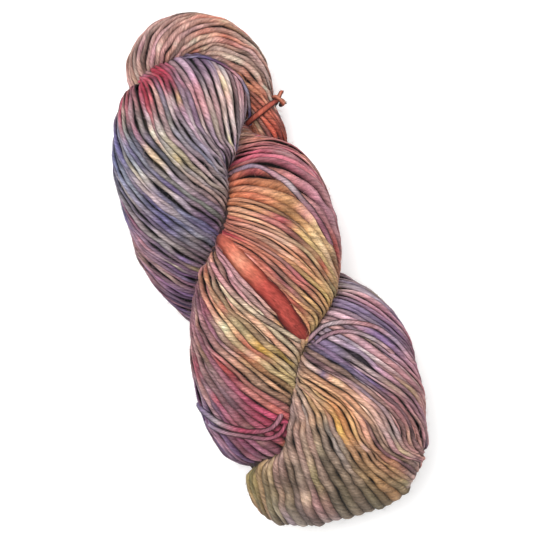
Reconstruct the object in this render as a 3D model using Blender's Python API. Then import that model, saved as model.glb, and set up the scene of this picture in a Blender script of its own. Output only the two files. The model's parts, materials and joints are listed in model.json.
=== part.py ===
"""Hank of hand-dyed wool: one skein twisted on itself into a two-part rope, lying on its back, with its
loop end at the top and a short yarn tied round the loop's right leg.

Metres, +Z up. The hank's length is along +Y and its face looks up. The tables below are in millimetres.
"""

import math

import bmesh
import bpy
import numpy as np

MM = 0.001

# The finished hank.
CENTRE_X = -3.1
CENTRE_Y = 3.7
FLOOR_Z = -29.5  # the plane that the hank's back rests on, before the shift to zero
UNDER_DEPTH = 60.0  # the block that trims the back flat

# The skein's strands are bunched in a few thick bundles, which show as grooves round each part.
BUNDLES = 5
SIDES_A_BUNDLE = 7
GROOVE = 1.9
RING_SPACING = 5.2
BEND_SHARE = 0.68  # a section reaches at most this share of the bend's own radius towards its centre

# The tie.
TIE_YARN = 1.8
TIE_CLEARANCE = 0.32
TIE_AT = (25.2, 82.1, -3.8)
TIE_HALF_WIDTH = 9.6
TIE_HALF_DEPTH = 7.6
TIE_SLOPE = 18.0
BAND_STEPS = 40
KNOT_AT = (35.5, 85.2, -2.4)
KNOT_HALF_SIZES = (2.9, 3.4, 3.0)

# x, y, z of the middle of a section, then its half width, half thickness, the angle of its width
# from +X in degrees, and the twist there in radians a millimetre. A row a section.
UPPER_PART = [
    (-4, 110, -15, 23, 13, -15, 0.020),
    (-6, 112.5, -5, 28, 17, -15, 0.020),
    (-7.2, 104.8, 8, 31.2, 19, -20, 0.020),
    (-22.2, 85.6, 15, 34, 22, -22, 0.021),
    (-33, 58, 17, 29.9, 22, -18, 0.025),
    (-34, 32, 13, 31, 20, -10, 0.032),
    (-33.3, 12, 3, 27.6, 18, 0, 0.040),
    (-24.2, -4.6, -8, 26.6, 17, 20, 0.045),
    (-7, -20, -15, 29, 17, 40, 0.045),
    (11, -32, -10, 30, 19, 30, 0.045),
    (17.5, -44, 8, 36, 23, 3, 0.042),
    (17.5, -64, 13, 42, 24, -12, 0.032),
    (10.5, -82, 12, 48, 24, -16, 0.018),
    (-0.4, -101, 8, 51.8, 22, -12, 0.009),
    (-6.3, -125.2, -4, 42.5, 19, -6, 0.005),
    (-1.6, -113.6, -18, 34, 13, 0, 0.005),
    (0, -94, -21, 28, 11, 0, 0.005),
    (4, -76, -18, 22, 10, 0, 0.005),
    (6, -60, -10, 16, 9, 0, 0.005),
]
LOWER_PART = [
    (14, -98, -6, 20, 14, -60, 0.030),
    (-4, -99, -10, 24, 14, -60, 0.030),
    (-21.3, -94, -2, 27, 17, -45, 0.030),
    (-29.8, -80, 10, 29.5, 20, -28, 0.030),
    (-28, -58, 15, 33, 21, -20, 0.030),
    (-17, -30, 16, 38, 22, -22, 0.032),
    (1, 2, 19, 38, 24, -24, 0.040),
    (10, 25, 15, 35, 22, -20, 0.048),
    (12, 43, 5, 30, 19, -8, 0.045),
    (4, 62, -9, 26, 16, 15, 0.036),
    (-9, 86, -15.5, 26, 16, 30, 0.036),
    (-22, 103, -14, 22, 14, 30, 0.036),
    (-27, 114, -6, 14, 10, 20, 0.036),
]
LOOP_END = [
    (-20, 96, -14, 13, 9, 30, 0.040),
    (-27, 113, -7, 13, 10, 10, 0.040),
    (-22, 127, -1, 14, 11, -35, 0.040),
    (-6, 134, 1, 14.5, 12, -90, 0.040),
    (10, 130, 1, 14, 12, -120, 0.040),
    (21, 117, 1.4, 13.5, 11, -150, 0.040),
    (25, 101, -1, 12, 9, -180, 0.040),
    (25, 84.6, -4, 9, 7, -180, 0.040),
    (24, 71, -6.3, 11, 8, -180, 0.040),
    (18, 56, -12, 13, 9, -160, 0.040),
]

# The tie's two free ends, from the knot: x, y, z, share of the yarn's thickness.
UPPER_FREE_END = [
    (35.4, 85.0, -2.4, 0.7),
    (36.7, 86.6, -1.8, 0.8),
    (37.8, 88.0, -1.6, 0.75),
    (38.9, 88.9, -2.0, 0.6),
    (39.7, 88.9, -2.5, 0.3),
]
LOWER_FREE_END = [
    (35.8, 85.2, -2.8, 0.7),
    (37.7, 84.4, -3.0, 0.8),
    (38.9, 83.3, -3.5, 0.75),
    (39.5, 82.0, -4.1, 0.6),
    (39.7, 81.1, -4.5, 0.3),
]

WOOL_COLOUR = (0.470, 0.330, 0.330, 1.0)
TIE_COLOUR = (0.500, 0.120, 0.090, 1.0)


def clear_scene():
    for obj in list(bpy.data.objects):
        bpy.data.objects.remove(obj, do_unlink=True)
    for mesh in list(bpy.data.meshes):
        bpy.data.meshes.remove(mesh)


def add_collection(name):
    group = bpy.data.collections.new(name)
    bpy.context.scene.collection.children.link(group)
    return group


def wool_material(name, colour):
    material = bpy.data.materials.new(name)
    material.use_nodes = True
    shader = material.node_tree.nodes["Principled BSDF"]
    shader.inputs["Base Color"].default_value = colour
    shader.inputs["Roughness"].default_value = 0.9
    return material


def smooth_rows(rows, spacing):
    """The table's rows as a natural cubic through them, resampled at about this spacing."""
    rows = np.array(rows, float)
    steps = np.linalg.norm(np.diff(rows[:, :3], axis=0), axis=1)
    at = np.concatenate([[0.0], np.cumsum(steps)])
    count = len(rows)
    system = np.eye(count)
    right = np.zeros_like(rows)
    for i in range(1, count - 1):
        before = steps[i - 1]
        after = steps[i]
        system[i, i - 1] = before
        system[i, i] = 2 * (before + after)
        system[i, i + 1] = after
        right[i] = 6 * ((rows[i + 1] - rows[i]) / after - (rows[i] - rows[i - 1]) / before)
    bend = np.linalg.solve(system, right)
    wanted = np.linspace(0.0, at[-1], int(at[-1] / spacing) + 1)
    span = np.clip(np.searchsorted(at, wanted, side="right") - 1, 0, count - 2)
    left = (at[span + 1] - wanted)[:, None]
    past = (wanted - at[span])[:, None]
    width = steps[span][:, None]
    curve = (bend[span] * left**3 + bend[span + 1] * past**3) / (6 * width)
    line = (rows[span] / width - bend[span] * width / 6) * left
    line += (rows[span + 1] / width - bend[span + 1] * width / 6) * past
    return curve + line


def unit(vectors):
    return vectors / np.linalg.norm(vectors, axis=-1, keepdims=True)


def frames_along(middle, side_degrees):
    """The direction, width axis and thickness axis of each section."""
    forward = unit(np.gradient(middle, axis=0))
    angle = np.radians(side_degrees)
    level = np.stack([np.cos(angle), np.sin(angle), np.zeros(len(angle))], axis=1)
    across = level - forward * (level * forward).sum(axis=1, keepdims=True)
    across = unit(across)
    return forward, across, np.cross(forward, across)


def lengths_along(middle):
    return np.concatenate([[0.0], np.cumsum(np.linalg.norm(np.diff(middle, axis=0), axis=1))])


def twisted_sections(rows, spacing, bundles, sides_a_bundle, groove):
    """Rings of points: each ring's points turn with the twist, so that a groove runs along one of them."""
    table = smooth_rows(rows, spacing)
    middle = table[:, :3]
    forward, across, through = frames_along(middle, table[:, 5])
    length = lengths_along(middle)
    twist = table[:, 6]
    turned = np.concatenate([[0.0], np.cumsum(0.5 * (twist[1:] + twist[:-1]) * np.diff(length))])
    sides = bundles * sides_a_bundle
    turn = np.arange(sides) * 2 * math.pi / sides
    angle = turn[None, :] - turned[:, None]
    reach = (np.cos(angle) * table[:, 3:4])[..., None] * across[:, None]
    reach = reach + (np.sin(angle) * table[:, 4:5])[..., None] * through[:, None]
    # A groove where two bundles meet.
    place = (np.arange(sides) % sides_a_bundle) / sides_a_bundle
    hollow = groove * (1.0 - np.sin(math.pi * place) ** 0.45)
    size = np.linalg.norm(reach, axis=2)
    share = 1.0 - hollow[None, :] / size
    # The inside of a bend is pressed flat.
    bend = np.gradient(forward, axis=0) / np.gradient(length)[:, None]
    inward = (reach * bend[:, None]).sum(axis=2)
    most = np.where(inward > 1e-6, BEND_SHARE / np.maximum(inward, 1e-6), 9.0)
    share = np.minimum(share, most)
    return middle, forward, middle[:, None] + reach * share[..., None]


def loft(name, middle, forward, rings, bulge):
    """A closed mesh through the rings, with a rounded end of this depth at both ends."""
    points = []
    for sign, index in ((-1.0, 0), (1.0, -1)):
        ends = []
        for part in (0.45, 0.8):
            shrink = math.sqrt(1.0 - part**2)
            ring = middle[index] + (rings[index] - middle[index]) * shrink
            ends.append(ring + forward[index] * sign * bulge * part)
        points.append(ends)
    stack = [points[0][1], points[0][0]] + list(rings) + [points[1][0], points[1][1]]
    sides = rings.shape[1]
    vertices = np.concatenate(stack)
    first_pole = middle[0] - forward[0] * bulge
    last_pole = middle[-1] + forward[-1] * bulge
    vertices = np.concatenate([vertices, [first_pole, last_pole]]) * MM
    start = len(stack) * sides
    faces = []
    for row in range(len(stack) - 1):
        for side in range(sides):
            after = (side + 1) % sides
            low = row * sides
            high = low + sides
            faces.append((low + side, low + after, high + after, high + side))
    top = (len(stack) - 1) * sides
    for side in range(sides):
        after = (side + 1) % sides
        faces.append((start, after, side))
        faces.append((start + 1, top + side, top + after))
    mesh = bpy.data.meshes.new(name)
    mesh.from_pydata([tuple(point) for point in vertices], [], faces)
    mesh.validate()
    mesh.update()
    return mesh


def face_out(mesh):
    """Turns the mesh's faces to point out, judged by its volume."""
    points = np.array([vertex.co for vertex in mesh.vertices])
    volume = 0.0
    for polygon in mesh.polygons:
        corners = points[list(polygon.vertices)]
        for i in range(1, len(corners) - 1):
            volume += np.dot(corners[0], np.cross(corners[i], corners[i + 1]))
    if volume < 0:
        mesh.flip_normals()


def add_object(mesh, group, material=None):
    face_out(mesh)
    obj = bpy.data.objects.new(mesh.name, mesh)
    group.objects.link(obj)
    if material:
        obj.data.materials.append(material)
    return obj


def yarn(name, path, radius, group, closed=False):
    """A round yarn along a path of x, y, z, radius share, as a curve made into a mesh."""
    curve = bpy.data.curves.new(name, "CURVE")
    curve.dimensions = "3D"
    curve.bevel_depth = radius * MM
    curve.bevel_resolution = 4
    curve.use_fill_caps = not closed
    spline = curve.splines.new("POLY")
    spline.points.add(len(path) - 1)
    for point, (x, y, z, share) in zip(spline.points, path):
        point.co = (x * MM, y * MM, z * MM, 1.0)
        point.radius = share
    spline.use_cyclic_u = closed
    guide = bpy.data.objects.new(name, curve)
    group.objects.link(guide)
    bpy.context.view_layer.update()
    graph = bpy.context.evaluated_depsgraph_get()
    mesh = bpy.data.meshes.new_from_object(guide.evaluated_get(graph))
    bpy.data.objects.remove(guide, do_unlink=True)
    work = bmesh.new()
    work.from_mesh(mesh)
    bmesh.ops.remove_doubles(work, verts=work.verts, dist=0.00001)
    work.to_mesh(mesh)
    work.free()
    mesh.name = name
    return mesh


def band_path():
    """The tie's closed path round the loop's right leg."""
    slope = math.radians(TIE_SLOPE)
    path = []
    for step in range(BAND_STEPS):
        turn = 2 * math.pi * step / BAND_STEPS
        wide = TIE_HALF_WIDTH * math.cos(turn)
        x = TIE_AT[0] + wide * math.cos(slope)
        y = TIE_AT[1] + wide * math.sin(slope)
        z = TIE_AT[2] + TIE_HALF_DEPTH * math.sin(turn)
        path.append((x, y, z, 1.0))
    return path


def knot_mesh(name, extra=0.0):
    """The tie's knot, a small rounded lump."""
    work = bmesh.new()
    bmesh.ops.create_uvsphere(work, u_segments=14, v_segments=9, radius=1.0)
    bmesh.ops.scale(work, vec=[(size + extra) * MM for size in KNOT_HALF_SIZES], verts=work.verts)
    bmesh.ops.translate(work, vec=[place * MM for place in KNOT_AT], verts=work.verts)
    mesh = bpy.data.meshes.new(name)
    work.to_mesh(mesh)
    work.free()
    return mesh


def block_mesh(name, size, middle):
    work = bmesh.new()
    bmesh.ops.create_cube(work, size=1.0)
    bmesh.ops.scale(work, vec=[length * MM for length in size], verts=work.verts)
    bmesh.ops.translate(work, vec=[place * MM for place in middle], verts=work.verts)
    mesh = bpy.data.meshes.new(name)
    work.to_mesh(mesh)
    work.free()
    return mesh


def combine(target, other, operation, crosses_itself=False):
    modifier = target.modifiers.new(other.name, "BOOLEAN")
    modifier.operation = operation
    modifier.solver = "EXACT"
    modifier.use_self = crosses_itself
    modifier.object = other
    bpy.context.view_layer.update()
    graph = bpy.context.evaluated_depsgraph_get()
    result = bpy.data.meshes.new_from_object(target.evaluated_get(graph))
    target.modifiers.clear()
    result.name = target.name
    target.data = result


def fill_hollows(obj):
    """Keeps only the largest closed surface: the pockets left between the parts are packed with yarn."""
    work = bmesh.new()
    work.from_mesh(obj.data)
    waiting = set(work.faces)
    shells = []
    while waiting:
        front = [waiting.pop()]
        shell = list(front)
        while front:
            for edge in front.pop().edges:
                for face in edge.link_faces:
                    if face in waiting:
                        waiting.remove(face)
                        front.append(face)
                        shell.append(face)
        shells.append(shell)
    shells.sort(key=len)
    for shell in shells[:-1]:
        bmesh.ops.delete(work, geom=shell, context="FACES")
    work.to_mesh(obj.data)
    work.free()


def shade_round(obj):
    obj.data.shade_smooth()
    obj.data.set_sharp_from_angle(angle=math.radians(50))


def hide_helper(obj):
    obj.hide_render = True
    obj.display_type = "WIRE"


def settle(obj):
    """Moves the mesh so that the hank's back is at zero and its middle over the origin."""
    for vertex in obj.data.vertices:
        vertex.co.x -= CENTRE_X * MM
        vertex.co.y -= CENTRE_Y * MM
        vertex.co.z -= FLOOR_Z * MM


def build_hank(group, helpers, material):
    upper = loft("hank", *twisted_sections(UPPER_PART, RING_SPACING, BUNDLES, SIDES_A_BUNDLE, GROOVE), 5.0)
    hank = add_object(upper, group)
    lower = loft("lower", *twisted_sections(LOWER_PART, RING_SPACING, BUNDLES, SIDES_A_BUNDLE, GROOVE), 5.0)
    lower = add_object(lower, helpers)
    end = loft("loop_end", *twisted_sections(LOOP_END, RING_SPACING, 3, SIDES_A_BUNDLE, GROOVE * 0.7), 4.0)
    end = add_object(end, helpers)
    combine(hank, lower, "UNION", crosses_itself=True)
    combine(hank, end, "UNION", crosses_itself=True)
    under = block_mesh("under", (240, 400, UNDER_DEPTH), (0, 0, FLOOR_Z - UNDER_DEPTH / 2))
    under = add_object(under, helpers)
    combine(hank, under, "DIFFERENCE")
    channel = yarn("channel", band_path(), TIE_YARN + TIE_CLEARANCE, helpers, closed=True)
    channel = add_object(channel, helpers)
    combine(hank, channel, "DIFFERENCE")
    pocket = add_object(knot_mesh("pocket", extra=TIE_CLEARANCE * 1.3), helpers)
    combine(hank, pocket, "DIFFERENCE")
    fill_hollows(hank)
    hank.data.materials.clear()
    hank.data.materials.append(material)
    settle(hank)
    shade_round(hank)
    for helper in (lower, end, under, channel, pocket):
        hide_helper(helper)
    return hank


def build_tie(group, helpers, material):
    tie = add_object(yarn("tie", band_path(), TIE_YARN, helpers, closed=True), group)
    knot = add_object(knot_mesh("knot"), helpers)
    upper = add_object(yarn("upper_end", UPPER_FREE_END, TIE_YARN, helpers), helpers)
    lower = add_object(yarn("lower_end", LOWER_FREE_END, TIE_YARN, helpers), helpers)
    for piece in (knot, upper, lower):
        combine(tie, piece, "UNION")
        hide_helper(piece)
    tie.data.materials.clear()
    tie.data.materials.append(material)
    settle(tie)
    shade_round(tie)
    return tie


def main():
    clear_scene()
    group = add_collection("hank_of_yarn")
    helpers = add_collection("helpers")
    wool = wool_material("dyed_wool", WOOL_COLOUR)
    red = wool_material("tie_wool", TIE_COLOUR)
    build_hank(group, helpers, wool)
    build_tie(group, helpers, red)
    helpers.hide_render = True


main()
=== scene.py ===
import json
import math

import bmesh
import bpy
import numpy as np
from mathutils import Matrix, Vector, kdtree
from mathutils.bvhtree import BVHTree

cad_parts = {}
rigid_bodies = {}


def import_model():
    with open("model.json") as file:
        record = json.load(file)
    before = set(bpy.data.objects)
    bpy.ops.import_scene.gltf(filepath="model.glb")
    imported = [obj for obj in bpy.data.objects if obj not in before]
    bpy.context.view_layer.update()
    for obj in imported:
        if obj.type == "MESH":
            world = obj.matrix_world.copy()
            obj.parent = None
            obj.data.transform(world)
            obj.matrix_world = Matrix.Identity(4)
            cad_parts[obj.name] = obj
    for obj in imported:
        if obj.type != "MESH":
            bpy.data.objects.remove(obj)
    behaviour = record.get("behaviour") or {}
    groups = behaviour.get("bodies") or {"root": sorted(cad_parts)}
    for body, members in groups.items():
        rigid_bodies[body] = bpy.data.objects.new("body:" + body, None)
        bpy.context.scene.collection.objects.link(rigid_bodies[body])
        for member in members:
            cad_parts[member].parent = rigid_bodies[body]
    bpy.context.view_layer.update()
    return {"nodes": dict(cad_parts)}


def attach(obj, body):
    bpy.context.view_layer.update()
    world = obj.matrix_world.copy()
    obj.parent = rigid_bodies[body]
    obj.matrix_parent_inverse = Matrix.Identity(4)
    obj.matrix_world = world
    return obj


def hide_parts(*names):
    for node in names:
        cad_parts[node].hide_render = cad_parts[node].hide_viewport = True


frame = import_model()

mm = 0.001
hankMiddle = np.array([-3.1, 3.7, -29.5])  # the middle of the underside
floorHeight = -29.5
farAway = 9.0  # stands for a share or a measure that is out of reach

# Colours of the dye as they look on the wool in daylight; bark and umber, at the bottom of the fan, are
# darker partly for painted shade near the floor.
dyes = {
    "silver": "bfb2b9", "paleSilver": "cfc2c2", "slate": "918ba6", "denim": "6c699c", "violet": "70608f",
    "plum": "6f4c68", "smoke": "85707e", "lilac": "a796ad", "mauve": "b08793", "rosewood": "a0697a",
    "raspberry": "ac4f67", "crimson": "ae2a44", "brick": "ae4f47", "coral": "cf7561", "salmon": "e29a80",
    "orange": "d18a59", "amber": "d69c5c", "gold": "e2b65c", "butter": "dfc18a", "cream": "dfcfb4",
    "pear": "cabb8c", "olive": "a08f66", "sage": "b3a792", "taupe": "ba9e92", "greige": "ab9486",
    "tan": "c49a70", "peach": "e3b290", "blush": "ddb3a4", "shell": "d9b5aa", "umber": "8f7a66",
    "bark": "7b7062", "ash": "b2aea6", "steel": "7d7f96", "pink": "dd8f90", "ember": "9f453e",
    "rose": "cf9aa0", "petal": "eccfc6", "straw": "efd39c",
}


def unit(vectors):
    return vectors / np.maximum(np.linalg.norm(vectors, axis=-1, keepdims=True), 1e-9)


def lengthsAlong(points):
    return np.concatenate([[0.0], np.cumsum(np.linalg.norm(np.diff(points, axis=0), axis=1))])


def smoothstep(value, low, high):
    share = np.clip((value - low) / (high - low), 0.0, 1.0)
    return share * share * (3 - 2 * share)


def smoothRows(rows, spacing):
    # a natural cubic through the rows, by the length between their first three values
    rows = np.array(rows, float)
    steps = np.linalg.norm(np.diff(rows[:, :3], axis=0), axis=1)
    at = np.concatenate([[0.0], np.cumsum(steps)])
    count = len(rows)
    system = np.eye(count)
    right = np.zeros_like(rows)
    for i in range(1, count - 1):
        system[i, i - 1] = steps[i - 1]
        system[i, i] = 2 * (steps[i - 1] + steps[i])
        system[i, i + 1] = steps[i]
        right[i] = 6 * ((rows[i + 1] - rows[i]) / steps[i] - (rows[i] - rows[i - 1]) / steps[i - 1])
    bend = np.linalg.solve(system, right)
    wanted = np.linspace(0.0, at[-1], int(at[-1] / spacing) + 1)
    span = np.clip(np.searchsorted(at, wanted, side="right") - 1, 0, count - 2)
    left = (at[span + 1] - wanted)[:, None]
    past = (wanted - at[span])[:, None]
    width = steps[span][:, None]
    curve = (bend[span] * left**3 + bend[span + 1] * past**3) / (6 * width)
    line = (rows[span] / width - bend[span] * width / 6) * left
    line += (rows[span + 1] / width - bend[span + 1] * width / 6) * past
    return curve + line


def waves(rng, along, count, wave):
    # a slow random wander for each strand, about one swing for each wave length
    knots = rng.normal(0.0, 1.0, (int(along[-1] / wave) + 4, count)).clip(-2.0, 2.0)
    at = along / wave + 1.0
    low = at.astype(int)
    share = smoothstep(at - low, 0.0, 1.0)[:, None]
    return knots[low] * (1 - share) + knots[low + 1] * share


def sharedWaves(rng, along, count, wave):
    # the same wander, mostly shared with the strands beside
    own = waves(rng, along, count, wave)
    return (own + np.roll(own, 1, axis=1) + np.roll(own, -1, axis=1)) / math.sqrt(3.0)


def drift(rng, along, count, swings, kind=waves):
    # a wander of several swings, each with its size and its wave length
    return sum(size * kind(rng, along, count, wave) for size, wave in swings)


def smoothed(values, rounds):
    # evens out the values along the strand and keeps its two ends
    for _ in range(rounds):
        middle = (values[:-2] + 2 * values[1:-1] + values[2:]) / 4
        values = np.concatenate([values[:1], middle, values[-1:]])
    return values


# how the strands are laid on all three parts
lay = {
    "ringStep": 1.6,
    "sides": 10,
    "mostTriangles": 190000,  # in one piece
    "bendShare": 0.68,  # a strand reaches at most this share of a bend's radius towards its centre
    "ownDistance": 75.0,  # a part presses on itself only this far along it
    "closest": 0.12,
    "thinnest": 1.0,
    "thickest": 4.2,
    # strands that are pressed in or bent in further than to these shares don't show
    "keptDepth": 0.25,
    "keptBend": 0.3,
    "fewestRings": 5,  # of a stretch that shows
    "endRadius": (0.35, 0.8),  # share of its radius at the last ring and the one before
    "leastRisen": 0.03,  # share of its room that a filler keeps before it comes up
    "fillerDepth": 2.4,  # how far a strand that hasn't come up lies under the others
    "fibreTurn": 11.0,  # millimetres of yarn for one turn of its fibres
    # random wander: sizes and wave lengths of its swings
    "unevenRoom": [(0.13, 80.0), (0.05, 22.0)],
    "unevenYarn": [(0.09, 9.0), (0.14, 4.2)],
    "unevenDepth": [(0.35, 45.0)],
    "sideways": [(0.5, 14.0), (0.42, 5.2)],
    "upAndDown": [(0.3, 7.0)],
}

# rows: x, y, z, half width, half thickness, angle of the width in degrees, twist in radians a millimetre,
# and how much faster the right side turns
# fillers: strands that come up between the others, as which of every how many, and from which to which
# distance between strands they do
# evenness, by row: 0 spaces the strands by angle, 1 by their distance round the part
# crowding, by row: above 1 the fillers come up sooner
# evenRow: where along the part the strands lie evenly; the last column of the rows turns those on the
# right of the middle faster than those on its left, so that they spread or close up from there
# bundles, groove: how many bundles the strands make, and how deep it is between them
# overlap: how much wider each strand is than its room
# base, strength: the dye where no splash reaches, and how deep all of the part's dye is
# speckles: how many small drops of the speckle dyes
# splashes: x, y, reach, dye, and how much longer along the strands it is, where that isn't the usual
# broad: x, y of a bundle of thicker strands, how many to each side, how much thicker, for how far
# parted: x, y of a strand that lies deeper, how deep, how many beside it, for how far
# thick: x, y of a strand, how much wider it is along the part, how far that goes either way, and its own
# dyes along the part
upperPart = {
    "name": "upper",
    "rows": [
        (-4, 110, -15, 23, 13, -15, 0.024, 0),
        (-6, 112.5, -5, 28, 17, -15, 0.026, 0),
        (-7.2, 104.8, 8, 31.2, 19, -20, 0.029, 0),
        (-22.2, 85.6, 15, 34, 22, -22, 0.031, 0),
        (-33, 58, 17, 29.9, 22, -18, 0.032, 0),
        (-34, 32, 13, 31, 20, -10, 0.032, 0),
        (-33.3, 12, 3, 27.6, 18, 0, 0.040, 0),
        (-24.2, -4.6, -8, 26.6, 17, 20, 0.045, 0),
        (-7, -20, -15, 29, 17, 40, 0.045, 0),
        (11, -32, -10, 30, 19, 30, 0.045, 0),
        (17.5, -44, 8, 36, 23, 3, 0.042, 0),
        (17.5, -64, 13, 42, 24, -12, 0.030, 0.002),
        (10.5, -82, 12, 48, 24, -16, 0.016, 0.010),
        (-0.4, -101, 8, 51.8, 22, -12, 0.011, 0.012),
        (-6.3, -125.2, -4, 42.5, 19, -6, 0.010, 0.016),
        (-1.6, -113.6, -18, 34, 13, 0, 0.004, 0.004),
        (0, -94, -21, 28, 11, 0, 0.005, 0),
        (4, -76, -18, 22, 10, 0, 0.005, 0),
        (6, -60, -10, 16, 9, 0, 0.005, 0),
    ],
    "strands": 50,
    "fillers": [(1, 4, 4.0, 4.8), (3, 4, 4.2, 5.0)],
    "evenness": [(0, 0.55), (10, 0.55), (13, 1.0)],
    "evenRow": 11,
    "crowding": [(0, 1.0), (10, 1.0), (12, 1.5)],
    "bundles": 5,
    "groove": 1.9,
    "overlap": 1.24,
    "seed": 11,
    "base": "taupe",
    "strength": 1.0,
    "speckles": 700,
    "speckleDyes": [
        "denim", "violet", "cream", "paleSilver", "pear", "rosewood", "paleSilver", "straw", "petal",
    ],
    "splashes": [
        (-21, 121, 5, "crimson", 1.5), (-20, 115, 4, "crimson", 1.5), (-24, 116, 5, "crimson", 1.5),
        (-19, 118, 4, "crimson", 1.5), (-22, 119, 4, "crimson", 1.5), (-26, 111, 4, "crimson", 1.6),
        (-30, 117, 3, "raspberry", 1.5), (-37, 111, 4, "raspberry", 1.5), (-44, 108, 4, "mauve", 1.5),
        (-18, 108, 4, "rosewood"), (-22, 103, 4, "mauve"), (-27, 105, 4, "silver"),
        (-32, 107, 4, "blush", 1.5), (-16, 118, 3, "mauve", 1.5), (-12, 118, 4, "silver"),
        (-8, 112, 4, "lilac"), (-6, 120, 3, "paleSilver", 1.5), (-5, 127, 5, "plum"),
        (3, 121, 5, "violet"), (1, 113, 3, "mauve"), (6, 114, 4, "slate"), (-5, 95, 4, "raspberry", 1.6),
        (-3, 104, 4, "paleSilver"), (-13, 98, 4, "lilac"), (-16, 102, 3, "plum"),
        (11, 112, 4, "paleSilver"), (12, 100, 6, "petal"), (12, 94, 5, "petal"), (17, 101, 4, "rose"),
        (17, 96, 3, "salmon"), (21, 106, 3, "violet"), (23, 96, 3, "slate"), (20, 86, 3, "slate"),
        (16, 79, 4, "lilac"), (4, 104, 3, "lilac"), (5, 88, 4, "mauve"), (10, 87, 5, "petal"),
        (3, 75, 5, "silver"), (-4, 78, 4, "lilac"), (-8, 74, 3, "cream", 3), (-15, 74, 4, "slate"),
        (-12, 86, 5, "silver"), (-18, 90, 5, "silver"), (-24, 74, 3, "pear", 2.5), (-27, 84, 4, "ash"),
        (-25, 95, 4, "slate"), (-33, 80, 3, "pear"), (-36, 92, 4, "ash"), (-44, 100, 4, "sage"),
        (-41, 88, 5, "ash"), (-44, 80, 3, "steel"), (-47, 87, 4, "steel"), (-29, 76, 3, "steel"),
        (-36, 74, 3, "ash"), (-52, 90, 5, "denim"), (-55, 77, 5, "steel"), (-60, 70, 5, "steel"),
        (-47, 72, 4, "ash"), (-42, 70, 4, "cream"), (-35, 62, 4, "denim"), (-30, 68, 5, "silver"),
        (-50, 60, 6, "silver"), (-42, 50, 4, "denim", 1.5), (-47, 45, 4, "violet", 1.5),
        (-36, 52, 4, "steel"), (-25, 36, 4, "violet", 1.4), (-28, 55, 5, "ash"), (-20, 60, 5, "greige"),
        (-15, 48, 5, "greige"), (-12, 62, 5, "silver"), (-5, 66, 4, "lilac"), (-20, 42, 5, "smoke"),
        (-33, 38, 5, "steel"), (-45, 33, 5, "ash"), (-51, 34, 4, "denim", 1.5), (-57, 38, 4, "mauve"),
        (-60, 52, 4, "slate"), (-58, 24, 5, "mauve"), (-50, 17, 5, "smoke"), (-38, 20, 5, "smoke"),
        (-40, 9, 5, "plum"), (-33, 6, 5, "plum"), (-52, 8, 6, "mauve"), (-46, -1, 5, "violet"),
        (-47, 12, 4, "violet"),
        # the fan below the crossing
        (38, -22, 5, "silver"), (46, -28, 4, "slate"), (30, -30, 5, "lilac"), (35, -36, 3, "violet"),
        (22, -29, 4, "smoke"), (21, -38, 4, "taupe"), (49, -38, 5, "mauve"), (53, -46, 4, "violet"),
        (30, -43, 4, "rose"), (22, -42, 4, "shell"), (4, -50, 5, "smoke"), (15, -52, 4, "violet"),
        (19, -59, 4, "violet"), (25, -67, 4, "slate"), (16, -56, 3, "lilac"), (33, -52, 6, "slate"),
        (26, -58, 3, "cream"), (42, -53, 3, "violet"), (40, -62, 5, "mauve"), (47, -62, 5, "lilac"),
        (54, -68, 5, "rosewood"), (36, -72, 5, "rose"), (50, -80, 6, "mauve"), (45, -76, 5, "rose"),
        (44, -88, 5, "mauve"), (54, -92, 5, "rose"), (2, -60, 5, "peach"), (11, -64, 5, "peach"),
        (7, -76, 4, "orange"), (9, -85, 3.5, "gold", 1.5), (8, -82, 4, "peach"), (11, -94, 4, "tan"),
        (0, -74, 5, "tan"), (16, -82, 5, "peach"), (24, -86, 5, "blush"), (22, -98, 5, "taupe"),
        (31, -96, 5, "blush"), (38, -96, 4, "rosewood"), (32, -112, 6, "mauve"), (42, -110, 6, "blush"),
        (-8, -70, 4, "paleSilver"), (3, -68, 4, "peach"), (-14, -78, 4, "greige"), (-8, -88, 5, "greige"),
        (-19, -90, 5, "greige"), (-27, -96, 5, "taupe"), (-2, -98, 5, "paleSilver"),
        # the bark and umber towards the bottom of the fan are partly the wool's dye and partly painted shade
        # near the floor
        (-13, -108, 7, "greige"), (2, -112, 6, "greige"), (-4, -125, 9, "bark"), (3, -135, 7, "bark"),
        (12, -118, 6, "tan"), (22, -118, 4, "tan"), (18, -128, 7, "olive"), (-18, -122, 4, "rosewood"),
        (-27, -127, 5, "lilac"), (-31, -112, 6, "bark"), (-40, -118, 6, "umber"), (-48, -102, 5, "olive"),
        (-44, -112, 4, "olive", 1.5), (-15, -135, 8, "bark"),
    ],
    "thick": [
        (20, -70, [1, 1.6, 1.6, 1.6, 1], 50, ["lilac", "mauve", "rosewood"]),
    ],
    "broad": [],
    "parted": [
        (-20, 60, 1.6, 1.0, 60),
        (30, -52, 0.8, 1.0, 45),
        (0, -62, 1.4, 1.0, 40),
    ],
}

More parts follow.
